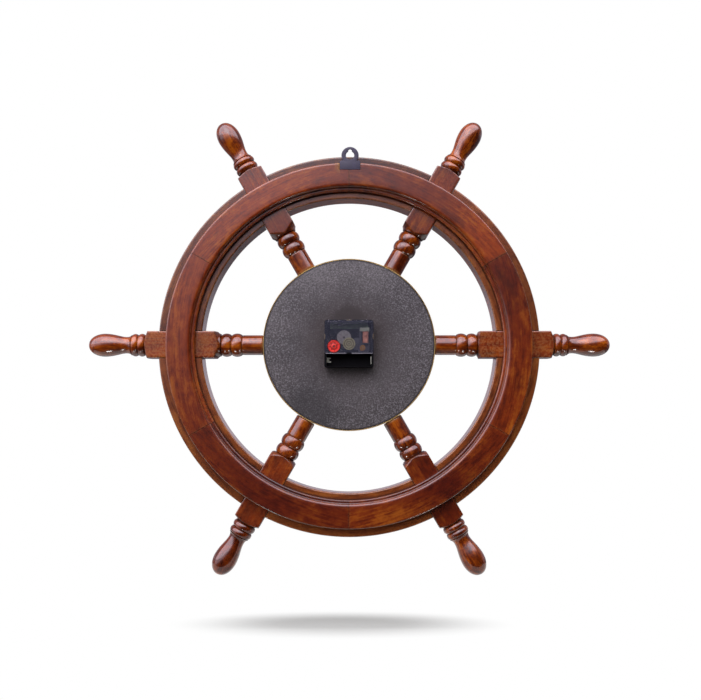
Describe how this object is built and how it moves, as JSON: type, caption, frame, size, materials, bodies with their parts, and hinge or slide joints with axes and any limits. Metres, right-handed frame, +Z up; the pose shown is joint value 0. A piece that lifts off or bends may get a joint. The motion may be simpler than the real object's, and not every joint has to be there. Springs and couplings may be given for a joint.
{
  "type": "ship wheel wall clock",
  "caption": "Wall clock shaped as a six-spoke wooden ship's wheel, with turned handles, a layered rim, a brass-edged hub and a quartz movement with its gear train at the back.",
  "frame": {"origin": "centre of the wheel, halfway through the thickness of its rim", "axes": "+Z up to the hanger, +X along the level pair of spokes, +Y out of the back towards the wall; the dial faces -Y"},
  "size_m": [0.6094, 0.055, 0.53],
  "materials": {
    "turned_wood": "red-brown gloss lacquer on turned hardwood",
    "lacquered_wood": "red-brown gloss lacquer on sawn hardwood",
    "core_wood": "plain unlacquered wood",
    "brass": "polished, slightly tarnished",
    "painted_steel": "blue-black paint, worn at the edges",
    "back_board": "dark grey, speckled and smudged",
    "dial_card": "cream printed card",
    "lens_glass": "clear",
    "hand_black": "black paint",
    "red_plastic": "moulded, satin",
    "black_plastic": "moulded, fine satin",
    "smoked_plastic": "smoked and translucent",
    "board": "solder mask",
    "steel": "bright",
    "cream_plastic": "moulded",
    "white_plastic": "moulded",
    "copper": "enamelled copper wire",
    "magnet": "brown moulded cap on a magnet"
  },
  "bodies": {
    "clock_body": {"spoke_1": "turned_wood", "spoke_2": "turned_wood", "spoke_3": "turned_wood", "spoke_4": "turned_wood", "spoke_5": "turned_wood", "spoke_6": "turned_wood", "felloe_1": "lacquered_wood", "felloe_2": "lacquered_wood", "felloe_3": "lacquered_wood", "felloe_4": "lacquered_wood", "felloe_5": "lacquered_wood", "felloe_6": "lacquered_wood", "back_ring_1": "lacquered_wood", "back_ring_2": "lacquered_wood", "back_ring_3": "lacquered_wood", "back_ring_4": "lacquered_wood", "back_ring_5": "lacquered_wood", "back_ring_6": "lacquered_wood", "front_ring_1": "lacquered_wood", "front_ring_2": "lacquered_wood", "front_ring_3": "lacquered_wood", "front_ring_4": "lacquered_wood", "front_ring_5": "lacquered_wood", "front_ring_6": "lacquered_wood", "hanger_plate": "painted_steel", "hub_core": "core_wood", "hub_band": "brass", "hub_back_plate": "back_board", "dial_plate": "dial_card", "spacer_ring": "brass", "glass_lens": "lens_glass", "bezel": "brass", "shaft_bushing": "brass", "dial_washer": "brass", "dial_nut": "brass", "movement_housing": "black_plastic", "train_plate": "black_plastic", "movement_cover": "smoked_plastic", "circuit_board": "board", "quartz_crystal": "steel", "coil_bobbin": "cream_plastic", "coil_winding": "copper", "coil_core": "steel", "stator": "steel", "contact_negative": "steel", "contact_positive": "steel"},
    "minute": {"minute_arbor": "brass", "minute_hand": "hand_black"},
    "hour": {"hour_wheel": "cream_plastic", "hour_hand": "hand_black"},
    "intermediate": {"intermediate_wheel": "white_plastic"},
    "knob": {"setting_knob": "red_plastic"},
    "seconds": {"seconds_wheel": "cream_plastic", "second_hand": "red_plastic"},
    "third": {"third_wheel": "white_plastic"},
    "centre": {"centre_wheel": "white_plastic"},
    "step": {"step_wheel": "white_plastic"},
    "rotor": {"rotor": "magnet"}
  },
  "joints": [
    {"name": "minute_turn", "type": "hinge", "parent": "clock_body", "child": "minute", "pos_m": [0, 0, 0], "axis": [0, 1, 0], "continuous": true},
    {"name": "hour_turn", "type": "hinge", "parent": "clock_body", "child": "hour", "pos_m": [0, 0, 0], "axis": [0, 1, 0], "continuous": true},
    {"name": "intermediate_turn", "type": "hinge", "parent": "clock_body", "child": "intermediate", "pos_m": [0.00825, 0.016, -0.0016], "axis": [0, 1, 0], "continuous": true},
    {"name": "knob_turn", "type": "hinge", "parent": "clock_body", "child": "knob", "pos_m": [0.01732, 0.02, -0.00337], "axis": [0, 1, 0], "continuous": true},
    {"name": "second_turn", "type": "hinge", "parent": "clock_body", "child": "seconds", "pos_m": [0, 0, 0], "axis": [0, 1, 0], "continuous": true},
    {"name": "third_turn", "type": "hinge", "parent": "clock_body", "child": "third", "pos_m": [0.00579, 0.02, 0.00741], "axis": [0, 1, 0], "continuous": true},
    {"name": "centre_turn", "type": "hinge", "parent": "clock_body", "child": "centre", "pos_m": [0, 0.017, 0], "axis": [0, 1, 0], "continuous": true},
    {"name": "step_turn", "type": "hinge", "parent": "clock_body", "child": "step", "pos_m": [-0.00864, 0.02, 0.00005], "axis": [0, 1, 0], "continuous": true},
    {"name": "rotor_turn", "type": "hinge", "parent": "clock_body", "child": "rotor", "pos_m": [-0.0155, 0.022, -0.00481], "axis": [0, 1, 0], "continuous": true}
  ],
  "couplings": [
    {"joint": "hour_turn", "follows": "minute_turn", "ratio": 0.083333},
    {"joint": "intermediate_turn", "follows": "minute_turn", "ratio": -0.33333},
    {"joint": "knob_turn", "follows": "minute_turn", "ratio": 0.71429},
    {"joint": "third_turn", "follows": "second_turn", "ratio": -0.13333},
    {"joint": "centre_turn", "follows": "second_turn", "ratio": 0.016667},
    {"joint": "step_turn", "follows": "second_turn", "ratio": -5},
    {"joint": "rotor_turn", "follows": "second_turn", "ratio": 30}
  ]
}
